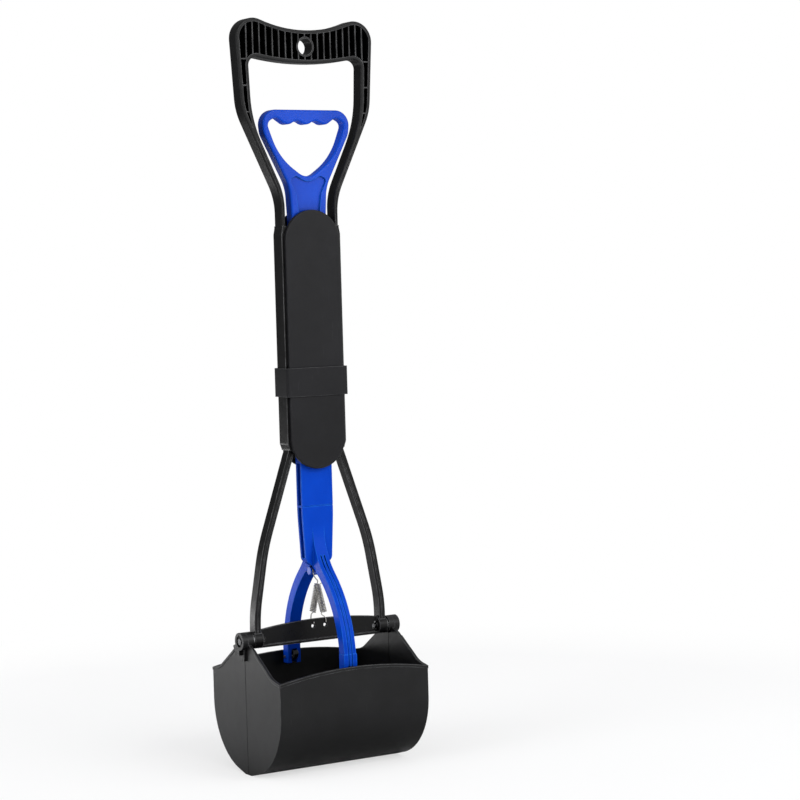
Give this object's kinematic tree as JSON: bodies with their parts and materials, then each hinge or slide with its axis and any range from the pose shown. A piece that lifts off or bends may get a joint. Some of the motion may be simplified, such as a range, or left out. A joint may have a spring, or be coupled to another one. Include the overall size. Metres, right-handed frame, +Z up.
{
  "type": "pooper scooper",
  "caption": "Long-handled pet waste scooper: a pull trigger in the grip lifts a yoke that swings two spring-closed bucket jaws open; the handle folds.",
  "frame": {"origin": "on the ground, below the middle of the closed bucket", "axes": "+X along the bucket and across the grip, +Y to the back, where the handle folds to, +Z up the handle"},
  "size_m": [0.1714, 0.1322, 0.703],
  "materials": {
    "black_plastic": "satin moulded black",
    "blue_plastic": "glossy royal blue",
    "inner_plastic": "satin moulded black",
    "zinc_steel": "bright zinc plated",
    "spring_steel": "bright drawn wire"
  },
  "bodies": {
    "lower_handle": {"lower_frame": "black_plastic", "lower_front_cover": "black_plastic", "lower_back_cover": "black_plastic", "lower_cover_screws": "zinc_steel", "fold_pins": "zinc_steel", "left_pivot_pin": "zinc_steel", "right_pivot_pin": "zinc_steel", "pivot_clips": "zinc_steel", "pivot_washers": "zinc_steel", "left_spring": "spring_steel", "right_spring": "spring_steel"},
    "upper_handle": {"upper_frame": "black_plastic", "upper_front_cover": "black_plastic", "upper_back_cover": "black_plastic", "upper_cover_screws": "zinc_steel"},
    "band": {"lock_band": "black_plastic"},
    "trigger": {"trigger_handle": "blue_plastic", "pull_rod": "inner_plastic", "rod_joint_pin": "zinc_steel"},
    "lift_yoke": {"yoke": "blue_plastic", "front_link_pin": "zinc_steel", "back_link_pin": "zinc_steel", "spring_anchor_pin": "blue_plastic", "rod_hinge_pin": "zinc_steel"},
    "front_bucket": {"front_jaw": "black_plastic"},
    "back_bucket": {"back_jaw": "black_plastic"}
  },
  "joints": [
    {"name": "handle_fold", "type": "hinge", "parent": "lower_handle", "child": "upper_handle", "pos_m": [0, 0.0081, 0.363], "axis": [-1, 0, 0], "range_deg": [0, 135]},
    {"name": "band_slide", "type": "slide", "parent": "upper_handle", "child": "band", "axis": [0, 0, 1], "range_m": [0, 0.059]},
    {"name": "trigger_pull", "type": "slide", "parent": "upper_handle", "child": "trigger", "axis": [0, 0, 1], "range_m": [0, 0.03], "stiffness_N_per_m": 1000, "springref_m": -0.01},
    {"name": "yoke_lift", "type": "slide", "parent": "lower_handle", "child": "lift_yoke", "axis": [0, 0, 1], "range_m": [0, 0.03], "deforming": ["left_spring", "right_spring"]},
    {"name": "front_jaw_swing", "type": "hinge", "parent": "lower_handle", "child": "front_bucket", "pos_m": [0, 0, 0.126], "axis": [-1, 0, 0], "range_deg": [0, 29]},
    {"name": "back_jaw_swing", "type": "hinge", "parent": "lower_handle", "child": "back_bucket", "pos_m": [0, 0, 0.126], "axis": [1, 0, 0], "range_deg": [0, 29]}
  ],
  "couplings": [
    {"joint": "yoke_lift", "follows": "trigger_pull", "ratio": 1},
    {"joint": "front_jaw_swing", "follows": "trigger_pull", "rad_per_m": 16.87},
    {"joint": "back_jaw_swing", "follows": "trigger_pull", "rad_per_m": 16.87},
    {"joint": "band_slide", "follows": "handle_fold", "m_per_rad": 0.025}
  ]
}
